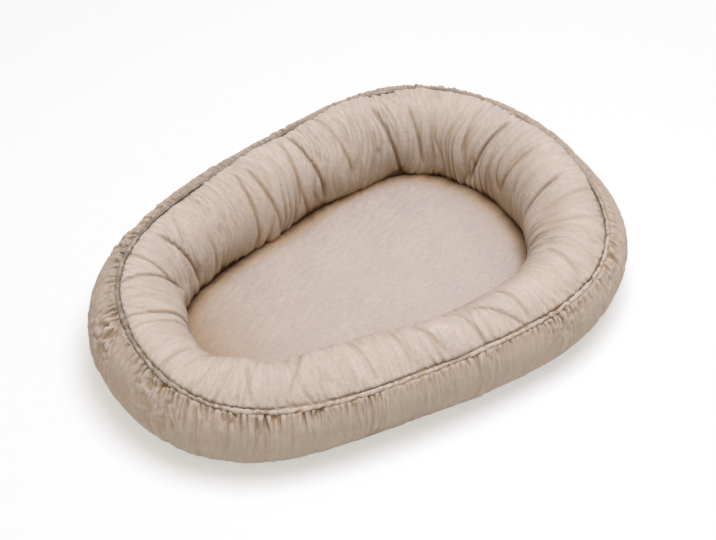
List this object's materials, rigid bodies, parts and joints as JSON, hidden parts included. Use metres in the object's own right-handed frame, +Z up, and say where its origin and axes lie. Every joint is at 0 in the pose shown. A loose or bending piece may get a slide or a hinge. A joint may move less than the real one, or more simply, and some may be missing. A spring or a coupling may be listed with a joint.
{
  "type": "infant lounger",
  "caption": "Egg-shaped infant lounger: a fibre-filled roll with a gathered muslin cover round a flat padded sleeping surface, zipped underneath.",
  "frame": {"origin": "centre of the footprint, on the floor that the base panel lies on", "axes": "+Z up, +X along the length towards the wide head end, +Y to the left of a child lying with the head at +X"},
  "size_m": [0.8496, 0.6063, 0.157],
  "materials": {
    "crown_muslin": "crinkled sand cotton muslin, gathered",
    "side_muslin": "crinkled sand cotton muslin",
    "panel_muslin": "sand cotton muslin, nearly flat, over wadding",
    "base_cotton": "plain sand cotton canvas",
    "lining_cotton": "plain undyed cotton lining",
    "elastic_band": "woven elastic",
    "polyester_fibre": "lofty white polyester fibre",
    "mattress_foam": "open-cell cream foam",
    "zip_tape": "woven sand polyester tape",
    "zip_coil": "sand nylon coil",
    "zip_metal": "sand enamel on die-cast metal"
  },
  "bodies": {
    "lounger": {"bumper_top_cover": "crown_muslin", "bumper_side_cover": "side_muslin", "seam_casing": "side_muslin", "casing_elastic": "elastic_band", "well_stay_tape": "lining_cotton", "bolster_liner": "lining_cotton", "bolster_fill": "polyester_fibre", "liner_end_left": "lining_cotton", "liner_end_right": "lining_cotton", "sleep_panel": "panel_muslin", "mattress_wadding": "polyester_fibre", "mattress_core": "mattress_foam", "base_panel": "base_cotton", "zip_tape_left": "zip_tape", "zip_tape_right": "zip_tape", "zip_coil_left": "zip_coil", "zip_coil_right": "zip_coil", "zip_top_stop_left": "zip_metal", "zip_top_stop_right": "zip_metal", "zip_bottom_stop": "zip_metal"},
    "slider": {"zip_slider": "zip_metal"},
    "pull": {"zip_pull": "zip_metal"}
  },
  "joints": [
    {"name": "zip_slide", "type": "slide", "parent": "lounger", "child": "slider", "axis": [1, 0, 0], "range_m": [0, 0.382], "deforming": ["zip_coil_left", "zip_coil_right"]},
    {"name": "zip_pull_swing", "type": "hinge", "parent": "slider", "child": "pull", "pos_m": [-0.1911, 0, 0.0067], "axis": [0, 1, 0], "range_deg": [0, 180]}
  ]
}
